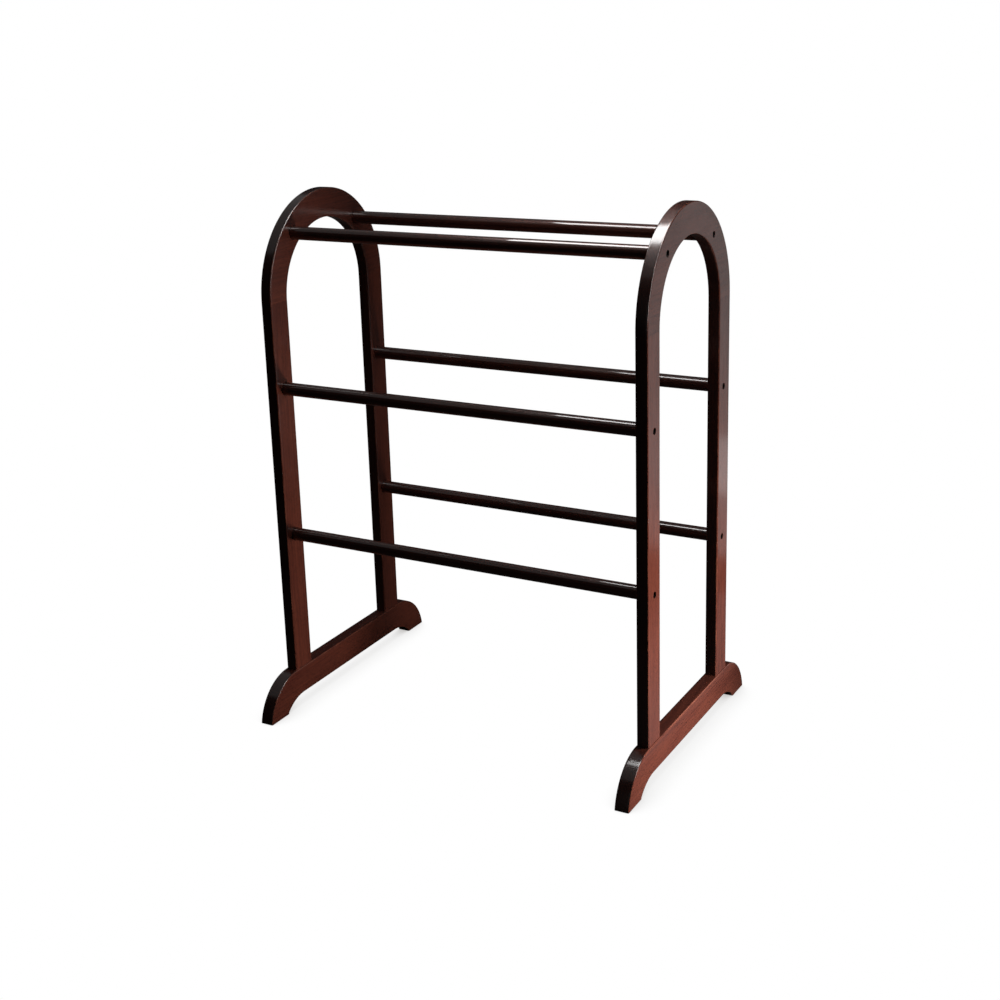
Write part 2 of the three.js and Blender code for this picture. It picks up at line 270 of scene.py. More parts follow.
def flare(radius, face, out):
    """The mouth of a drill. out is the way out of the wood, 1 or -1."""
    points = [(radius + RIM + PAST, face + out * PAST)]
    for i in range(SMALL_STEPS + 1):
        a = math.pi / 2 * i / SMALL_STEPS
        points.append((radius + RIM * (1 - math.sin(a)), face - out * RIM * (1 - math.cos(a))))
    return points


def rail_drill(y, z):
    """Well, way and socket for one rail end, through a board whose outer face is at +X."""
    outer, inner = BOARD / 2, -BOARD / 2
    profile = [(0, outer + PAST), *flare(WELL_RADIUS, outer, 1)]
    profile += [(WELL_RADIUS, outer - WELL_DEPTH), (SHANK_RADIUS + SLACK, outer - WELL_DEPTH)]
    profile += [(SHANK_RADIUS + SLACK, inner + SOCKET_DEPTH), (SOCKET_RADIUS, inner + SOCKET_DEPTH)]
    profile += [*reversed(flare(SOCKET_RADIUS, inner, -1)), (0, inner - PAST)]
    where = Matrix.Translation((0, y, z)) @ TO_RIGHT
    return new_object("rail_drill", turned(profile, DRILL_SIDES), where)


def plain_drill(y, radius, bottom, top):
    """A straight hole along Z."""
    profile = [(0, bottom), (radius, bottom), (radius, top), (0, top)]
    return new_object("plain_drill", turned(profile, DRILL_SIDES), Matrix.Translation((0, y, 0)))


def pin_drills(side, joint, z, into):
    """The pin holes of a joint whose face is at z. into is the way into the wood, 1 or -1."""
    drills = []
    for node in NODES:
        if node.startswith(side) and f"_{joint}_pin_" in node:
            ends = sorted((z - into * PAST, z + into * (PIN_LENGTH / 2 + PIN_END_ROOM)))
            drills.append(plain_drill(middle_of(node).y, PIN_HOLE, *ends))
    return drills


def saw(low, high):
    """A plain block, wider than any board, that takes off everything between two heights."""
    block = bmesh.new()
    bmesh.ops.create_cube(block, size=1)
    scale = Matrix.Diagonal((1, 2, high - low, 1))
    return new_object("saw", block, Matrix.Translation((0, 0, (low + high) / 2)) @ scale)


def cut(board, tools):
    """Takes the tools out of the board, one after another, and throws them away."""
    for tool in tools:
        step = board.modifiers.new(tool.name, "BOOLEAN")
        step.operation = "DIFFERENCE"
        step.solver = "EXACT"
        step.object = tool
    seen = board.evaluated_get(bpy.context.evaluated_depsgraph_get())
    uncut, board.data = board.data, bpy.data.meshes.new_from_object(seen)
    board.modifiers.clear()
    bpy.data.meshes.remove(uncut)
    for tool in tools:
        bpy.data.meshes.remove(tool.data)
    shape = bmesh.new()
    shape.from_mesh(board.data)
    bmesh.ops.remove_doubles(shape, verts=shape.verts, dist=WELD)
    bmesh.ops.dissolve_degenerate(shape, edges=shape.edges, dist=WELD)
    shape.to_mesh(board.data)
    shape.free()
    return board


print("rail sockets measure", round(2 * SOCKET_RADIUS / MM, 1), "mm across")

# %% [markdown]
# ## What the finish needs to know
#
# A finish lies differently on a sharp edge, on a broad face and inside a drilled hole, and the
# grain runs along each board. A shader can't find that out by itself, so the mesh carries it as
# named attributes: where each point lies in its own plank (along, across and through the grain),
# how near it is to the crest of a rounded edge, and whether a drill left it bare, where the finish
# also paints shade into the hole. Each board is given its own place in the tree, drawn at random
# from a fixed seed, so that no two show the same figure.

# %% Measure grain, edges and drilled wood
chance = random.Random(11)
SHARP = math.radians(35)
SQUARE_ON = 0.999


def write(mesh, name, values, kind="FLOAT"):
    made = mesh.attributes.new(name, kind, "POINT")
    field = "value" if kind == "FLOAT" else "vector"
    made.data.foreach_set(field, np.asarray(values, np.float32).ravel())


def corners_of(mesh):
    places = np.empty(len(mesh.vertices) * 3)
    mesh.vertices.foreach_get("co", places)
    return places.reshape(-1, 3)


def write_grain(mesh, order):
    """order says which of X, Y and Z run along, across and through the grain."""
    along, across, through = ((-4, 4), (0.06, 0.14), (0.05, 0.12))
    plank = np.array([chance.uniform(*span) for span in (along, across, through)])
    places = corners_of(mesh)
    centre = (places.min(0) + places.max(0)) / 2
    write(mesh, "grain", (places - centre)[:, order] + plank, "FLOAT_VECTOR")


def mark_board(mesh, outline, thickness):
    """Marks rounded edges and drilled holes, and shades the broad faces flat.

    Flat shading keeps a drilled rim from pulling the shading of the face about. It has to come
    after shade, which would undo it.
    """
    places = corners_of(mesh)
    depth = depth_inside(outline, places[:, 1:])
    below_face = thickness / 2 - np.abs(places[:, 0])
    over = np.clip(1 - depth / ROUNDING, 0, 1)
    across = np.clip(1 - below_face / ROUNDING, 0, 1)
    write(mesh, "edge", 2 * over * across)
    # The drilled mark also tells the finish where to paint shade into holes.
    write(mesh, "drilled", (depth > ROUNDING + RIM) & (below_face > RIM / 8))
    broad = depth > ROUNDING + MARGIN * 0.9
    for face in mesh.polygons:
        flat = abs(face.normal.x) > SQUARE_ON and all(broad[v] for v in face.vertices)
        face.use_smooth = not flat


def shade(mesh):
    """Smooth shading, kept crisp where two faces meet sharply."""
    mesh.set_sharp_from_angle(angle=SHARP)


def finished_board(name, outline, thickness, tools, order, side, centre):
    """Cuts one board, marks it up, and moves it to its end of the rack."""
    board = cut(new_object(name, blank_board(outline, thickness)), tools)
    shade(board.data)
    mark_board(board.data, outline, thickness)
    if side == "left":
        board.data.transform(Matrix.Scale(-1, 4, (1, 0, 0)))
        board.data.flip_normals()
    board.data.transform(Matrix.Translation(centre))
    write_grain(board.data, order)
    return board


print("the grain runs along Z in a leg, along Y in a crown and a foot, and along X in a rail")

# %% [markdown]
# ## Crowns
#
# A crown is the arch at the top of an end frame. It is sawn from a board glued up wide enough for
# the whole curve, with its grain level, and its ends meet the legs at the spring line. Its outer
# and inner curves have different centres, so the arch is a little deeper at its top. The outline
# runs on past the spring line and is then sawn off square, as a maker would do it, so that the
# softened edges run cleanly through the joint into the legs.

# %% Cut the two crowns
FRAME_PLANE = middle_of("right_crown").x
SIDES = {"right": Vector((FRAME_PLANE, 0, 0)), "left": Vector((-FRAME_PLANE, 0, 0))}
ENDS = ("front", "rear")
LEG_WIDTH = size_of("right_front_leg").y
CROWN_LOW, CROWN_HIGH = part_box("right_crown")
ARCH_RADIUS = CROWN_HIGH.y
SPRING = CROWN_LOW.z
RUN_ON = 5 * MM
GRAIN_LEVEL, GRAIN_UP, GRAIN_ACROSS = (1, 2, 0), (2, 1, 0), (0, 1, 2)


def crown_outline():
    end, opening = SPRING - RUN_ON, ARCH_RADIUS - LEG_WIDTH
    outer = arc((0, CROWN_HIGH.z - ARCH_RADIUS), ARCH_RADIUS, 0, math.pi)
    inner = arc((0, SPRING), opening, math.pi, 0)
    return [(ARCH_RADIUS, end), *outer, (-ARCH_RADIUS, end),
            (-opening, end), *inner, (opening, end)]


def rail_drills(rows, ends):
    rails = [middle_of(f"{row}_{end}_rail") for row in rows for end in ends]
    return [rail_drill(rail.y, rail.z) for rail in rails]


crowns = {}
for side, centre in SIDES.items():
    outline = crown_outline()
    tools = [saw(SPRING - 4 * RUN_ON, SPRING), *rail_drills(["top"], ENDS)]
    tools += pin_drills("right", "crown", SPRING, 1)
    name = f"{side}_crown"
    crowns[name] = finished_board(
        name + "_board", outline, BOARD, tools, GRAIN_LEVEL, side, centre)
    print(name, "has", len(crowns[name].data.polygons), "faces")

# %% [markdown]
# ## Legs
#
# A leg is a plain length of board between the crown and the foot. Two bolts go through it, one
# for the middle rail and one for the low rail, and a screw comes up into its end grain from the
# foot.

# %% Cut the four legs
TIP_ROOM = 3 * MM
legs = {}
for side, centre in SIDES.items():
    for end in ENDS:
        corner = f"right_{end}"
        low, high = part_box(f"{corner}_leg")
        bottom, top = low.z - RUN_ON, high.z + RUN_ON
        outline = [(low.y, bottom), (high.y, bottom), (high.y, top), (low.y, top)]
        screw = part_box(f"{corner}_foot_screw")[1]
        tools = [saw(bottom - RUN_ON, low.z), saw(high.z, top + RUN_ON)]
        tools += rail_drills(["middle", "low"], [end])
        tools += pin_drills(corner, "foot", low.z, 1) + pin_drills(corner, "crown", high.z, -1)
        middle, way = (low.y + high.y) / 2, SHANK_RADIUS + SLACK
        tools += [plain_drill(middle, way, low.z - PAST, screw.z + TIP_ROOM)]
        name = f"{side}_{end}_leg"
        legs[name] = finished_board(name + "_board", outline, BOARD, tools, GRAIN_UP, side, centre)
print("a leg is", round(1000 * (high.z - low.z), 1), "mm long")

# %% [markdown]
# ## Feet
#
# A foot is thicker than the boards above it. Each end rolls over in a quarter round and stands on
# a pad, and between the pads the underside is cut away in a long arch that ends in two coves. The
# pads are sawn off level at the floor, which leaves them a crisp lower edge, as on a piece that
# is planed true after assembly.

# %% Cut the two feet
PAD_LENGTH = 48 * MM
PAD_STEP = 2 * MM
ARCH_HEIGHT = 21 * MM
COVE_RUN = 46 * MM
PLANED_OFF = 1.6 * MM
FOOT_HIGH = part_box("right_foot")[1]
SHOULDER = -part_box("right_front_leg")[0].y


def arc_radius(run, rise):
    """Radius of the arc that starts level, and falls by rise over run."""
    return (run * run + rise * rise) / (2 * rise)


def foot_outline():
    heel = FOOT_HIGH.y - PAD_LENGTH
    hollow = arc_radius(COVE_RUN, ARCH_HEIGHT - PAD_STEP)
    hollow_centre = (heel - COVE_RUN, ARCH_HEIGHT - hollow)
    lip = math.atan2(PAD_STEP - hollow_centre[1], COVE_RUN)
    nose = arc_radius(FOOT_HIGH.y - SHOULDER, FOOT_HIGH.z)
    nose_centre = (SHOULDER, FOOT_HIGH.z - nose)
    toe = math.asin((-PLANED_OFF - nose_centre[1]) / nose)
    rear = [*arc(hollow_centre, hollow, math.pi / 2, lip), (heel, -PLANED_OFF)]
    rear += arc(nose_centre, nose, toe, math.pi / 2)
    front = [(-y, z) for y, z in reversed(rear)]
    return [*rear, *straight(rear[-1], front[0]), *front, *straight(front[-1], rear[0])]


def screw_drill(node):
    """The deep well under the foot for one screw, and the way for its shank."""
    well, way = size_of(node).x / 2 + SLACK, SHANK_RADIUS + SLACK
    floor = ARCH_HEIGHT + SCREW_WELL_DEPTH
    profile = [(0, ARCH_HEIGHT - PAST), *flare(well, ARCH_HEIGHT, -1), (well, floor), (way, floor)]
    profile += [(way, FOOT_HIGH.z + PAST), (0, FOOT_HIGH.z + PAST)]
    where = Matrix.Translation((0, middle_of(node).y, 0))
    return new_object("screw_drill", turned(profile, DRILL_SIDES), where)


feet = {}
for side, centre in SIDES.items():
    outline = foot_outline()
    tools = [saw(-2 * RUN_ON, 0), *pin_drills("right", "foot", FOOT_HIGH.z, -1)]
    tools += [screw_drill(f"right_{end}_foot_screw") for end in ENDS]
    name = f"{side}_foot"
    thickness = size_of(name).x
    feet[name] = finished_board(
        name + "_board", outline, thickness, tools, GRAIN_LEVEL, side, centre)
    print(name, "stands on the floor at", round(min(corners_of(feet[name].data)[:, 2]), 6))

# %% [markdown]
# ## Rails
#
# A rail is a dowel rod, turned and sanded until it is truly round, and stained and lacquered like
# the boards. Each end is bored in two steps: a wide bore for a threaded insert, and a narrow one
# behind it for the tip of the bolt. The rail is swept as one profile that starts at the bottom of
# one bore and ends at the bottom of the other.

# %% Turn the six rails
RAIL_SIDES = 72
RAIL_ROUNDING = 1 * MM
BACK_ROOM = 0.5 * MM
INSERT_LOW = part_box("right_front_low_insert")[0]
BOLT_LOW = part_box("right_front_low_bolt")[0]


def rail_profile(node):
    half, radius = size_of(node).x / 2, size_of(node).z / 2
    way, bore = SHANK_RADIUS + SLACK, size_of("right_front_low_insert").z / 2 + SLACK
    ledge, deepest = INSERT_LOW.x - BACK_ROOM, BOLT_LOW.x - TIP_ROOM
    inner, outer = radius - RAIL_ROUNDING, half - RAIL_ROUNDING
    right = [(radius, outer - MARGIN), *rounded(inner, outer, RAIL_ROUNDING, 0)]
    right += [(bore, half), (bore, ledge), (way, ledge), (way, deepest), (0, deepest)]
    return [(r, -height) for r, height in reversed(right)] + right


rails = {}
for row in ("top", "middle", "low"):
    for end in ENDS:
        node = f"{row}_{end}_rail"
        where = Matrix.Translation(middle_of(node)) @ TO_RIGHT
        rails[node] = new_object(node + "_rod", turned(rail_profile(node), RAIL_SIDES), where)
        write_grain(rails[node].data, GRAIN_ACROSS)
        shade(rails[node].data)
rail_size = size_of(node) / MM
print("a rail is", round(rail_size.x, 1), "mm long and", round(rail_size.z, 1), "mm thick")

# %% [markdown]
# ## Bolts and inserts
#
# A cap bolt at each rail end draws the frame tight. Its knurled head lies deep in its well and
# takes a hex key. It screws into an insert in the rail's end, which has a coarse thread outside
# to bite the wood. The threads are real shape: a ridge that climbs by one pitch in each turn.
# Left and right ends use the same bolt turned about, and never its mirror image, which would have
# a left-hand thread.

# %% Threads and bolts
KNURLS = 18
KNURL_DEPTH = 0.12 * MM
FASTENER_SIDES = 36
HEAD_LENGTH = 5 * MM
THREADED_LENGTH = 22 * MM
KEY_DEPTH = 2.5 * MM
KEY_SIZE = 4 * MM


def thread(crest, depth, pitch, low, high):
    """The relief of a thread between two heights, cut into a given radius."""
    def relief(a, radius, height):
        if radius < crest - depth / 10 or not low < height < high:
            return 0
        return -depth * abs(2 * ((height / pitch - a / (2 * math.pi)) % 1) - 1)
    return relief


def steps(radius, low, high, step):
    """A straight stretch of a profile, with a ring at every step."""
    count = max(1, round((high - low) / step))
    return [(radius, low + (high - low) * i / count) for i in range(count + 1)]


def bolt():
    """A cap bolt about its own middle, head up."""
    half, head = size_of("right_front_low_bolt").x / 2, size_of("right_front_low_bolt").z / 2
    seat, chamfer, soft, under = half - HEAD_LENGTH, 1 * MM, 0.5 * MM, 0.2 * MM
    pitch, thread_depth, threaded = 0.8 * MM, 0.35 * MM, -half + THREADED_LENGTH
    cut_thread = thread(SHANK_RADIUS, thread_depth, pitch, -half + chamfer, threaded)

    def relief(a, radius, height):
        if radius > head * 0.99 and seat < height:
            return -KNURL_DEPTH * (1 + math.cos(KNURLS * a))
        return cut_thread(a, radius, height)

    profile = [(0, -half), (SHANK_RADIUS - chamfer, -half)]
    profile += steps(SHANK_RADIUS, -half + chamfer, threaded, pitch / 3)
    profile += [(SHANK_RADIUS, seat), (head - under, seat), (head, seat + under)]
    profile += [(head, half - soft), *rounded(head - soft, half - soft, soft, 0)[1:], (0, half)]
    made = new_object("bolt", turned(profile, FASTENER_SIDES, relief))
    return cut(made, [hex_key(KEY_SIZE, half - KEY_DEPTH, half + PAST)])


def hex_key(size, low, high):
    """The shape of a hex key between two heights."""
    corner = size / math.sqrt(3)
    return new_object("hex_key", turned([(0, low), (corner, low), (corner, high), (0, high)], 6))


master_bolt = bolt()
print("a bolt has", len(master_bolt.data.polygons), "faces")

# %% [markdown]
# A tube can't start and end on its axis, so the insert gets its bore by the same cut that drills
# a board.

# %% Inserts
WOOD_THREAD_DEPTH = 0.7 * MM


def insert():
    """A threaded insert about its own middle, its mouth up."""
    size = size_of("right_front_low_insert")
    half, radius, soft = size.x / 2, size.z / 2, 0.6 * MM
    pitch = 2.5 * MM
    relief = thread(radius, WOOD_THREAD_DEPTH, pitch, -half + soft, half - soft)
    profile = [(0, -half), (radius - soft, -half)]
    profile += steps(radius, -half + soft, half - soft, pitch / 6)
    profile += [(radius - soft, half), (0, half)]
    way, low, high = SHANK_RADIUS + SLACK, -half - PAST, half + PAST
    bore = turned([(0, low), (way, low), (way, high), (0, high)], FASTENER_SIDES)
    made = new_object("insert", turned(profile, FASTENER_SIDES, relief))
    return cut(made, [new_object("bore", bore)])


master_insert = insert()
print("an insert has", len(master_insert.data.polygons), "faces")

# %% [markdown]
# ## Dowel pins and foot screws
#
# Two fluted beech pins hold each joint between boards; the flutes let the glue climb as the pin
# is driven home. A long screw with a coarse wood thread comes up through each foot into its leg,
# and its head can be seen from below.

# %% Pins and screws
FLUTES = 12
FLUTE_DEPTH = 0.3 * MM
SCREW_KEY_SIZE = 3.5 * MM
SCREW_KEY_DEPTH = 2 * MM


def pin():
    """A fluted dowel pin about its own middle."""
    size = size_of("right_front_foot_pin_outer")
    half, radius, soft = size.z / 2, max(size.x, size.y) / 2, 0.8 * MM

    def relief(a, at, height):
        return -FLUTE_DEPTH * max(0, math.cos(FLUTES * a)) if at > radius * 0.99 else 0

    profile = [(0, -half), (radius - soft, -half), (radius, -half + soft)]
    profile += [(radius, half - soft), (radius - soft, half), (0, half)]
    return new_object("pin", turned(profile, FLUTES * 6, relief))


def screw():
    """A wood screw about its own middle, point up."""
    size = size_of("right_front_foot_screw")
    half, head, soft = size.z / 2, size.x / 2, 0.5 * MM
    head_length, plain_length, point_length, pitch = 3.5 * MM, 20 * MM, 7 * MM, 2 * MM
    seat = -half + head_length
    shoulder, point = seat + plain_length, half - point_length
    relief = thread(SHANK_RADIUS, WOOD_THREAD_DEPTH, pitch, shoulder, point)
    profile = [(0, -half), (head - soft, -half), (head, -half + soft), (head, seat)]
    profile += [(SHANK_RADIUS, seat)]
    profile += steps(SHANK_RADIUS, shoulder, point, pitch / 6)
    profile += [(0.5 * MM, half), (0, half)]
    made = new_object("screw", turned(profile, FASTENER_SIDES, relief))
    return cut(made, [hex_key(SCREW_KEY_SIZE, -half - PAST, -half + SCREW_KEY_DEPTH)])


master_pin, master_screw = pin(), screw()
print("a screw is", round(1000 * master_screw.dimensions.z, 1), "mm long")

# %% [markdown]
# The four masters are copied to every place where the working model has such a piece, and then
# removed.

# %% Put the fasteners in place
MASTERS = {"bolt": master_bolt, "insert": master_insert,
           "screw": master_screw, "pin": master_pin}
fasteners = {kind: {} for kind in MASTERS}
for node in NODES:
    kind = next((kind for kind in MASTERS if kind in node), None)
    if kind is None:
        continue
    turn = UP
    if kind in ("bolt", "insert"):
        turn = TO_RIGHT if node.startswith("right") else TO_LEFT
    piece = bpy.data.objects.new(node + "_made", MASTERS[kind].data.copy())
    piece.data.transform(Matrix.Translation(middle_of(node)) @ turn)
    if kind == "pin":
        write_grain(piece.data, GRAIN_UP)
    shade(piece.data)
    bpy.context.scene.collection.objects.link(piece)
    fasteners[kind][node] = piece
for master in MASTERS.values():
    bpy.data.meshes.remove(master.data)
print({kind: len(pieces) for kind, pieces in fasteners.items()})

# %% [markdown]
# ## Tools for finishes
#
# Every finish is a network of shader nodes. Three small helpers keep the networks short: one adds
# a node and feeds it, one does a sum, and one mixes two colours. Effects that several finishes
# share are node groups.

# %% Node helpers
FLOAT, VECTOR, COLOUR = "NodeSocketFloat", "NodeSocketVector", "NodeSocketColor"


def feed(tree, socket, value):
    """Joins a socket to another one, or sets it to a plain value."""
    if isinstance(value, bpy.types.NodeSocket):
        tree.links.new(value, socket)
    else:
        socket.default_value = value


def add(tree, kind, feeds, **settings):
    """Adds a node, and feeds its inputs by name or by number."""
    made = tree.nodes.new("ShaderNode" + kind)
    for name, value in settings.items():
        setattr(made, name, value)
    for name, value in feeds.items():
        feed(tree, made.inputs[name], value)
    return made


def calc(tree, operation, *values):
    return add(tree, "Math", dict(enumerate(values)), operation=operation).outputs[0]


def blend(tree, share, first, second):
    """Mixes two colours."""
    return add(tree, "Mix", {0: share, 6: first, 7: second}, data_type="RGBA").outputs[2]


def ramp(tree, value, low, high, to_low=0.0, to_high=1.0):
    """Carries a value smoothly from one range to another."""
    feeds = {"Value": value, "From Min": low, "From Max": high, "To Min": to_low, "To Max": to_high}
    return add(tree, "MapRange", feeds, interpolation_type="SMOOTHSTEP").outputs[0]


def noise(tree, place, scale, detail=2.0, rough=0.5):
    """Noise stretched by a scale for each direction."""
    stretched = add(tree, "VectorMath", {0: place, 1: scale}, operation="MULTIPLY").outputs[0]
    feeds = {"Vector": stretched, "Scale": 1.0, "Detail": detail, "Roughness": rough}
    return add(tree, "TexNoise", feeds).outputs[0]


def new_group(name, inputs, outputs):
    """An empty node group with named sockets. Returns its tree, its inputs and its output node."""
    tree = bpy.data.node_groups.new(name, "ShaderNodeTree")
    for socket, (kind, value) in inputs.items():
        made = tree.interface.new_socket(name=socket, in_out="INPUT", socket_type=kind)
        if value is not None:
            made.default_value = value
    for socket, kind in outputs.items():
        tree.interface.new_socket(name=socket, in_out="OUTPUT", socket_type=kind)
    return tree, tree.nodes.new("NodeGroupInput").outputs, tree.nodes.new("NodeGroupOutput")


def use(tree, group, feeds):
    """Places a node group in a material."""
    made = tree.nodes.new("ShaderNodeGroup")
    made.node_tree = group
    for name, value in feeds.items():
        feed(tree, made.inputs[name], value)
    return made.outputs


def attribute(tree, name, output="Fac"):
    return add(tree, "Attribute", {}, attribute_name=name).outputs[output]


print("helpers ready")

# %% [markdown]
# ## Grain
#
# Three things make the figure of wood. Growth rings are cylinders round the heart of the tree, a
# few millimetres apart and never quite regular. Fibres are fine streaks along the grain. Pores
# are short dark dashes where the saw opened the vessels. Each is a mask made from the board's own
# place in its tree, so the figure runs through a board from one face to the other, and end grain
# looks like end grain.

# %% Wood figure group
def make_figure():
    tree, given, result = new_group(
        "Wood figure",
        {"Grain": (VECTOR, None), "Ring spacing": (FLOAT, 0.004)},
        {"Rings": FLOAT, "Fibre": FLOAT, "Pores": FLOAT, "Cloud": FLOAT})
    grain = given["Grain"]
    sway = noise(tree, grain, (2.5, 18, 18), 2.0)
    across = add(tree, "VectorMath", {0: grain, 1: (0, 1, 1)}, operation="MULTIPLY").outputs[0]
    radius = add(tree, "VectorMath", {0: across}, operation="LENGTH").outputs[1]
    swayed = calc(tree, "ADD", radius, calc(tree, "MULTIPLY", sway, 0.03))
    turns = calc(tree, "DIVIDE", swayed, given["Ring spacing"])
    wave = calc(tree, "SINE", calc(tree, "MULTIPLY", turns, 2 * math.pi))
    feed(tree, result.inputs["Rings"], ramp(tree, wave, -1.0, 1.0))
    streaks = noise(tree, grain, (9, 260, 260), 5.0, 0.6)
    feed(tree, result.inputs["Fibre"], ramp(tree, streaks, 0.3, 0.7))
    dashes = noise(tree, grain, (110, 1900, 1900), 1.0)
    feed(tree, result.inputs["Pores"], ramp(tree, dashes, 0.60, 0.68))
    clouds = noise(tree, grain, (7, 22, 22), 3.0)
    feed(tree, result.inputs["Cloud"], ramp(tree, clouds, 0.3, 0.7))
    return tree


wood_figure = make_figure()
sockets = wood_figure.interface.items_tree
print(wood_figure.name, "gives", [s.name for s in sockets if s.in_out == "OUTPUT"])

# %% [markdown]
# ## Stain
#
# Stain goes on wet and is wiped off. It sinks deeper into soft early wood and into pores, and
# stands a little unevenly from one hand's breadth to the next, so the colour wanders between a
# lighter red brown and a darker one.

# %% Stain group
def make_stain():
    tree, given, result = new_group(
        "Stain",
        {"Rings": (FLOAT, 0.5), "Fibre": (FLOAT, 0.5), "Pores": (FLOAT, 0.0), "Cloud": (FLOAT, 0.5),
         "Light": (COLOUR, (0.1, 0.03, 0.02, 1)), "Dark": (COLOUR, (0.05, 0.01, 0.01, 1)),
         "Pore": (COLOUR, (0.01, 0.004, 0.003, 1))},
        {"Colour": COLOUR})
    share = calc(tree, "MULTIPLY", given["Rings"], 0.22)
    share = calc(tree, "ADD", share, calc(tree, "MULTIPLY", given["Fibre"], 0.38))
    share = calc(tree, "ADD", share, calc(tree, "MULTIPLY", given["Cloud"], 0.40))
    body = blend(tree, share, given["Light"], given["Dark"])
    filled = calc(tree, "MULTIPLY", given["Pores"], 0.7)
    feed(tree, result.inputs["Colour"], blend(tree, filled, body, given["Pore"]))
    return tree


stain = make_stain()
print(stain.name, "turns a figure into colour")

# %% [markdown]
# ## Rubbed edges
#
# Hands and folded quilts rub the sharp edges first, and there the stain thins and the redder wood
# comes through. The mask follows the edge mark in the mesh, broken up by noise, so the wear comes
# and goes along an edge.

# %% Edge wear group
def make_wear():
    tree, given, result = new_group(
        "Rubbed edge",
        {"Edge": (FLOAT, 0.0), "Grain": (VECTOR, None), "Amount": (FLOAT, 0.5)},
        {"Worn": FLOAT})
    patches = ramp(tree, noise(tree, given["Grain"], (35, 60, 60), 3.0), 0.35, 0.65)
    worn = calc(tree, "MULTIPLY", ramp(tree, given["Edge"], 0.25, 0.95), patches)
    feed(tree, result.inputs["Worn"], calc(tree, "MULTIPLY", worn, given["Amount"]))
    return tree


rubbed_edge = make_wear()
print(rubbed_edge.name, "puts out a mask")

# %% [markdown]
# ## Lacquer
#
# Sprayed lacquer levels out but never quite flat: it keeps a very low, broad ripple, it sinks a
# little over open pores, and it is duller where hands have polished or scuffed it. The group
# gives a roughness that drifts and a height for a Bump node. How much it shines is set on each
# finish itself.

# %% Lacquer group
def make_lacquer():
    tree, given, result = new_group(
        "Lacquer",
        {"Grain": (VECTOR, None), "Pores": (FLOAT, 0.0), "Fibre": (FLOAT, 0.5),
         "Smooth": (FLOAT, 0.2), "Dull": (FLOAT, 0.35)},
        {"Roughness": FLOAT, "Height": FLOAT})
    scuffs = ramp(tree, noise(tree, given["Grain"], (14, 45, 45), 4.0, 0.6), 0.35, 0.7)
    drift = calc(tree, "MULTIPLY", scuffs, calc(tree, "SUBTRACT", given["Dull"], given["Smooth"]))
    feed(tree, result.inputs["Roughness"], calc(tree, "ADD", given["Smooth"], drift))
    ripple = noise(tree, given["Grain"], (60, 160, 160), 2.0)
    sunk = calc(tree, "ADD", calc(tree, "MULTIPLY", given["Pores"], -0.35),
                calc(tree, "MULTIPLY", given["Fibre"], 0.12))
    feed(tree, result.inputs["Height"], calc(tree, "ADD", ripple, sunk))
    return tree


lacquer = make_lacquer()
print(lacquer.name, "gives roughness and height")

# %% [markdown]
# ## Stained and lacquered wood
#
# Boards and rails share one recipe. The body of the shader is the stained wood, and its coat is
# the lacquer over it, which gives the clear shine on top of the soft one. The rails were rubbed
# smoother, and their stain is a little lighter, because turned rods soak up less of it than flat
# boards. Drilled holes are bare of lacquer, so they stay dull, and their near-black colour is
# painted shade, standing in for the shade that falls inside them.

# %% Stained finishes
DARK_PORE = (0.008, 0.003, 0.002, 1)
# Painted shade: the colour of drilled holes, far darker than the stain.
HOLE_PAINTED_SHADE = (0.012, 0.005, 0.003, 1)
HOLE_ROUGHNESS = 0.8
FIGURE_MASKS = ("Rings", "Fibre", "Pores", "Cloud")


def new_finish(name):
    made = bpy.data.materials.new(name)
    made.use_nodes = True
    return made, made.node_tree, made.node_tree.nodes["Principled BSDF"]


def stained(name, light, dark, worn, wear, smooth, dull, coat_roughness):
    finish, tree, shader = new_finish(name)
    grain = attribute(tree, "grain", "Vector")
    figure = use(tree, wood_figure, {"Grain": grain, "Ring spacing": 0.0045})
    masks = {key: figure[key] for key in FIGURE_MASKS}
    shades = {"Light": light, "Dark": dark, "Pore": DARK_PORE}
    colour = use(tree, stain, {**masks, **shades})["Colour"]
    edge = attribute(tree, "edge")
    rubbed = use(tree, rubbed_edge, {"Edge": edge, "Grain": grain, "Amount": wear})["Worn"]
    drilled = attribute(tree, "drilled")
    colour = blend(tree, rubbed, colour, worn)
    # Drilled holes take the painted shade colour.
    colour = blend(tree, drilled, colour, HOLE_PAINTED_SHADE)
    skin = use(tree, lacquer, {"Grain": grain, "Pores": figure["Pores"],
                               "Fibre": figure["Fibre"], "Smooth": smooth, "Dull": dull})
    ripple = add(tree, "Bump", {"Height": skin["Height"], "Strength": 0.08, "Distance": 0.0006})
    feed(tree, shader.inputs["Base Color"], colour)
    hole = calc(tree, "MULTIPLY", drilled, HOLE_ROUGHNESS)
    feed(tree, shader.inputs["Roughness"], calc(tree, "MAXIMUM", skin["Roughness"], hole))
    feed(tree, shader.inputs["Normal"], ripple.outputs[0])
    feed(tree, shader.inputs["Coat Weight"], calc(tree, "SUBTRACT", 1.0, drilled))
    shader.inputs["Coat Roughness"].default_value = coat_roughness
    shader.inputs["Coat IOR"].default_value = 1.5
    shader.inputs["Specular IOR Level"].default_value = 0.1
    return finish


stained_board = stained(
    "stained board", light=(0.085, 0.021, 0.012, 1), dark=(0.040, 0.009, 0.006, 1),
    worn=(0.16, 0.05, 0.028, 1), wear=0.5, smooth=0.34, dull=0.5, coat_roughness=0.17)
stained_rail = stained(
    "stained rail", light=(0.115, 0.032, 0.020, 1), dark=(0.062, 0.015, 0.010, 1),
    worn=(0.12, 0.04, 0.02, 1), wear=0.3, smooth=0.28, dull=0.4, coat_roughness=0.05)
print(stained_board.name, "and", stained_rail.name, "are ready")

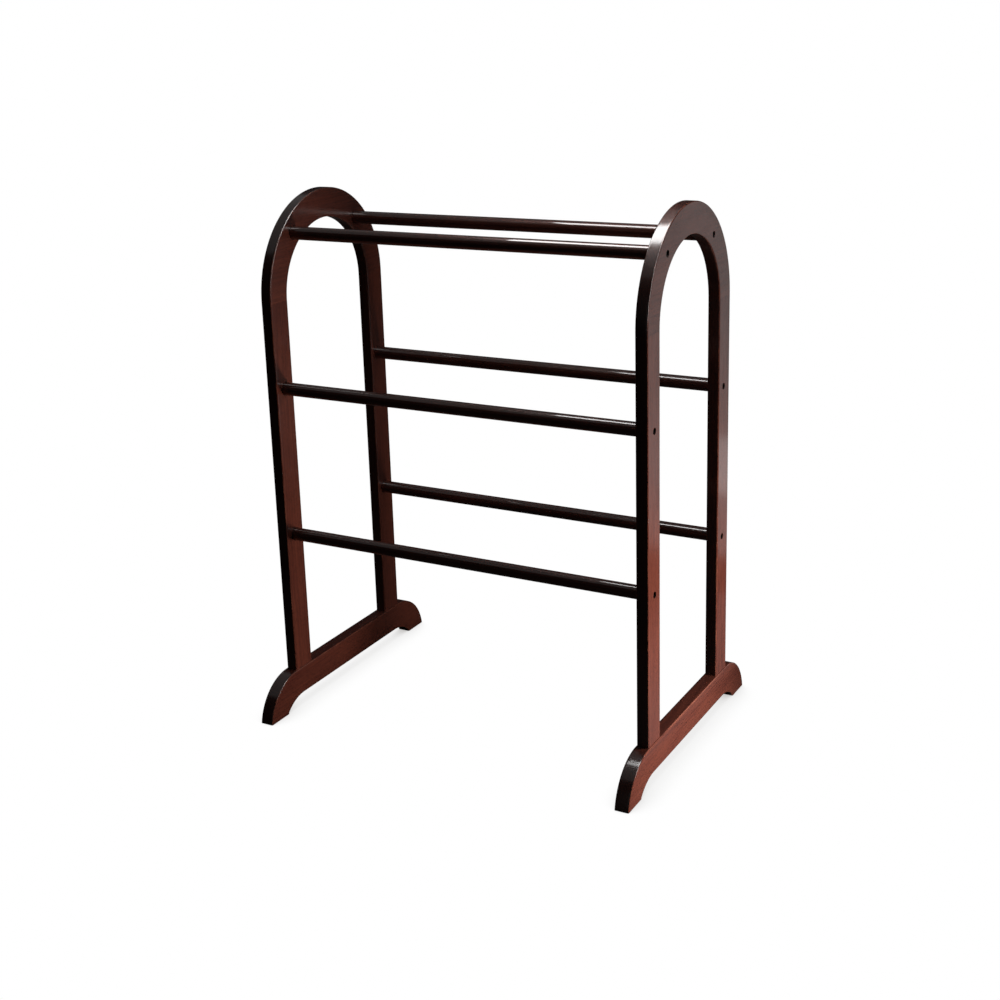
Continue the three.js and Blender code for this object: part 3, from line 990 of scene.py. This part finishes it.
# %% [markdown]
# ## Bare beech and steel
#
# The pins are bare beech, pale with darker flecks. The bolts are blackened steel, oiled and
# rubbed brighter in places; the inserts and screws are plated with zinc, which clouds over with
# age. Bare metal has no coat.

# %% Beech, black steel and zinc
def beech():
    finish, tree, shader = new_finish("bare beech")
    grain = attribute(tree, "grain", "Vector")
    figure = use(tree, wood_figure, {"Grain": grain, "Ring spacing": 0.002})
    masks = {key: figure[key] for key in FIGURE_MASKS}
    shades = {"Light": (0.62, 0.42, 0.24, 1), "Dark": (0.48, 0.29, 0.15, 1),
              "Pore": (0.30, 0.16, 0.08, 1)}
    colour = use(tree, stain, {**masks, **shades})["Colour"]
    feed(tree, shader.inputs["Base Color"], colour)
    feed(tree, shader.inputs["Roughness"], ramp(tree, figure["Fibre"], 0.0, 1.0, 0.6, 0.75))
    fuzz = add(tree, "Bump", {"Height": figure["Fibre"], "Strength": 0.2, "Distance": 0.0002})
    feed(tree, shader.inputs["Normal"], fuzz.outputs[0])
    return finish


def make_metal_skin():
    tree, given, result = new_group(
        "Metal skin",
        {"Clean": (COLOUR, (0.5, 0.5, 0.5, 1)), "Clouded": (COLOUR, (0.3, 0.3, 0.3, 1)),
         "Smooth": (FLOAT, 0.25), "Dull": (FLOAT, 0.5)},
        {"Colour": COLOUR, "Roughness": FLOAT, "Height": FLOAT})
    place = add(tree, "TexCoord", {}).outputs["Object"]
    clouds = ramp(tree, noise(tree, place, (220, 220, 220), 4.0, 0.6), 0.35, 0.65)
    feed(tree, result.inputs["Colour"], blend(tree, clouds, given["Clean"], given["Clouded"]))
    drift = calc(tree, "MULTIPLY", clouds, calc(tree, "SUBTRACT", given["Dull"], given["Smooth"]))
    feed(tree, result.inputs["Roughness"], calc(tree, "ADD", given["Smooth"], drift))
    feed(tree, result.inputs["Height"], noise(tree, place, (1500, 1500, 1500), 2.0))
    return tree


def metal(name, clean, clouded, smooth, dull):
    finish, tree, shader = new_finish(name)
    skin = use(tree, metal_skin,
               {"Clean": clean, "Clouded": clouded, "Smooth": smooth, "Dull": dull})
    feed(tree, shader.inputs["Base Color"], skin["Colour"])
    feed(tree, shader.inputs["Roughness"], skin["Roughness"])
    grit = add(tree, "Bump", {"Height": skin["Height"], "Strength": 0.1, "Distance": 0.0001})
    feed(tree, shader.inputs["Normal"], grit.outputs[0])
    shader.inputs["Metallic"].default_value = 1.0
    return finish


metal_skin = make_metal_skin()
raw_beech = beech()
black_steel = metal("blackened steel", clean=(0.045, 0.042, 0.040, 1),
                    clouded=(0.020, 0.018, 0.018, 1), smooth=0.3, dull=0.5)
zinc_steel = metal("zinc plated steel", clean=(0.62, 0.60, 0.55, 1),
                   clouded=(0.42, 0.41, 0.38, 1), smooth=0.25, dull=0.45)
print("metal finishes ready")

# %% [markdown]
# ## Finish, fix and hand over
#
# Each made piece takes its finish, rides on the rack and stands for its piece of the working
# model.

# %% Give every piece its finish
def hand_over(pieces, finish):
    for node, piece in pieces.items():
        piece.data.materials.clear()
        piece.data.materials.append(finish)
        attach(piece, "root")
        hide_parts(node)
    print(len(pieces), "pieces in", finish.name)


hand_over({**crowns, **legs, **feet}, stained_board)
hand_over(rails, stained_rail)
hand_over(fasteners["bolt"], black_steel)
hand_over({**fasteners["insert"], **fasteners["screw"]}, zinc_steel)
hand_over(fasteners["pin"], raw_beech)

# %% [markdown]
# ## Floor and background
#
# The rack stands on a pale floor that runs into a white background without a line. Dark lacquer
# mirrors what is round it, so a floor and a sky that are white in the mirror too would wash the
# wood out. Both are white only where the camera sees them, and dim for everything else. A soft
# shade under the pads shows that they stand on something.

# %% Floor and background
WHITE = (1, 1, 1, 1)
CONTACT_SHADE = (0.55, 0.54, 0.53, 1)
SHADE_REACH = 0.06
DIM_FLOOR = (0.04, 0.039, 0.038, 1)
DIM_SKY = (0.012, 0.012, 0.013, 1)


def make_floor():
    shape = bmesh.new()
    bmesh.ops.create_grid(shape, x_segments=1, y_segments=1, size=6)
    floor = new_object("floor", shape)
    finish, tree, shader = new_finish("pale floor")
    near = add(tree, "AmbientOcclusion", {"Distance": SHADE_REACH}, samples=16).outputs["AO"]
    pale = blend(tree, ramp(tree, near, 0.0, 0.9), CONTACT_SHADE, WHITE)
    seen = add(tree, "Emission", {"Color": pale, "Strength": 1.0}).outputs[0]
    shader.inputs["Base Color"].default_value = DIM_FLOOR
    shader.inputs["Roughness"].default_value = 0.9
    shader.inputs["Specular IOR Level"].default_value = 0.0
    camera_ray = add(tree, "LightPath", {}).outputs["Is Camera Ray"]
    both = add(tree, "MixShader", {0: camera_ray, 1: shader.outputs[0], 2: seen}).outputs[0]
    feed(tree, tree.nodes["Material Output"].inputs["Surface"], both)
    floor.data.materials.append(finish)
    floor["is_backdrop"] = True


def make_background():
    world = bpy.data.worlds.new("studio")
    world.use_nodes = True
    bpy.context.scene.world = world
    tree = world.node_tree
    camera_ray = add(tree, "LightPath", {}).outputs["Is Camera Ray"]
    shown = blend(tree, camera_ray, DIM_SKY, WHITE)
    feed(tree, tree.nodes["Background"].inputs["Color"], shown)


make_floor()
make_background()
bpy.context.scene.view_settings.view_transform = "Standard"
print("white for the camera, dim for the lacquer")

# %% [markdown]
# ## Lights
#
# A dark glossy piece is lit by two kinds of light: what its lacquer mirrors, and what sinks into
# its colour. Here they are set apart, as a painter would: some boxes are only mirrored, and
# others only light the wood. A long bright box over the rack draws the bands on the rims and
# along the rails. Two small boxes beside the right end show the colour of its broad faces, and a
# tall card standing behind it lays a grey veil on them. A dim ceiling and a strip on the right
# give the curved edges something to mirror, and weak fills light the back and the left.

# %% Softboxes
def softbox(name, place, aim, size, brightness, mirrored=True, colours=True, beam=180):
    """A rectangular light turned towards a point, equally bright whatever its size."""
    width, height = size
    lamp = bpy.data.lights.new(name, "AREA")
    lamp.shape = "RECTANGLE"
    lamp.size, lamp.size_y = width, height
    lamp.energy = math.pi * width * height * brightness
    lamp.spread = math.radians(beam)
    made = bpy.data.objects.new(name, lamp)
    facing = (Vector(aim) - Vector(place)).to_track_quat("-Z", "Y").to_matrix().to_4x4()
    made.matrix_world = Matrix.Translation(place) @ facing
    made.visible_camera = False
    made.visible_glossy = mirrored
    made.visible_diffuse = colours
    bpy.context.scene.collection.objects.link(made)


DOWN = Vector((0, 0.0001, -1))
ABOVE = Vector((0.37, -0.045, 1.25))
CEILING = Vector((-0.6, 0, 2.6))
HEART = (0, 0, 0.4)

softbox("band", ABOVE, ABOVE + DOWN, (1.06, 0.22), 17, colours=False)
softbox("right strip", (1.5, -0.10, 1.02), (0.3, -0.10, 0.8), (0.40, 0.95), 9, colours=False)
softbox("overhead", (0.30, -0.02, 1.2), (0.30, -0.0199, 0), (0.6, 0.25), 2.4, mirrored=False)
softbox("ceiling", CEILING, CEILING + DOWN, (5.0, 4.0), 0.24, colours=False)
softbox("side", (0.85, 0.17, 0.15), (0.33, -0.22, 0.16), (0.14, 0.16), 108,
        mirrored=False, beam=110)
softbox("high side", (0.95, 0.17, 0.72), (0.33, -0.05, 0.72), (0.2, 0.2), 11.5,
        mirrored=False, beam=120)
softbox("veil", (0.68, 0.80, 0.48), (0.68, -1, 0.48), (0.36, 0.96), 0.36, colours=False)
softbox("patch", (0.58, 0.79, 0.20), (0.58, -1, 0.20), (0.12, 0.12), 0.6, colours=False)
softbox("floor card", (0.47, 0.15, 0.004), (0.47, 0.1501, 1), (0.20, 0.9), 0.10, colours=False)
softbox("back fill", (0.9, 3.0, 1.1), HEART, (1.6, 1.6), 2.5, mirrored=False)
softbox("left fill", (-2.6, 1.7, 1.0), HEART, (1.6, 1.6), 4.0, mirrored=False)
softbox("front fill", (0.0, -3.2, 0.9), HEART, (1.5, 1.8), 0.12)
print("twelve lights")

# %% [markdown]
# ## Camera
#
# The camera looks down a little on the right front corner with a moderately long lens. It is
# placed by its own directions rather than aimed at a target, so that the verticals keep their
# slight lean.

# %% Camera
AZIMUTH, ELEVATION, ROLL = (math.radians(a) for a in (30.409, 15.941, -2.137))
STANDPOINT = (1.1465, -2.0696, 1.1565)
back = Vector((math.sin(AZIMUTH) * math.cos(ELEVATION),
               -math.cos(AZIMUTH) * math.cos(ELEVATION),
               math.sin(ELEVATION)))
level = Vector((0, 0, 1)).cross(back).normalized()
upright = back.cross(level)
c, s = math.cos(ROLL), math.sin(ROLL)
right, up = c * level + s * upright, c * upright - s * level

camera = bpy.data.cameras.new("camera")
camera.lens = 55.72
camera.shift_x, camera.shift_y = 0.040, -0.0712
viewer = bpy.data.objects.new("camera", camera)
turned_to = Matrix((right, up, back)).transposed().to_4x4()
viewer.matrix_world = Matrix.Translation(STANDPOINT) @ turned_to
bpy.context.scene.collection.objects.link(viewer)
bpy.context.scene.camera = viewer
print("lens", camera.lens, "mm")

# %% [markdown]
# ## Compare sizes and finish
#
# The pieces made here have to fill the same box as the working model.

# %% Sizes and finish
made_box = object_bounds()
for label, box in (("made", made_box), ("model", model_box)):
    print(label, [round(b - a, 4) for a, b in zip(*box)])
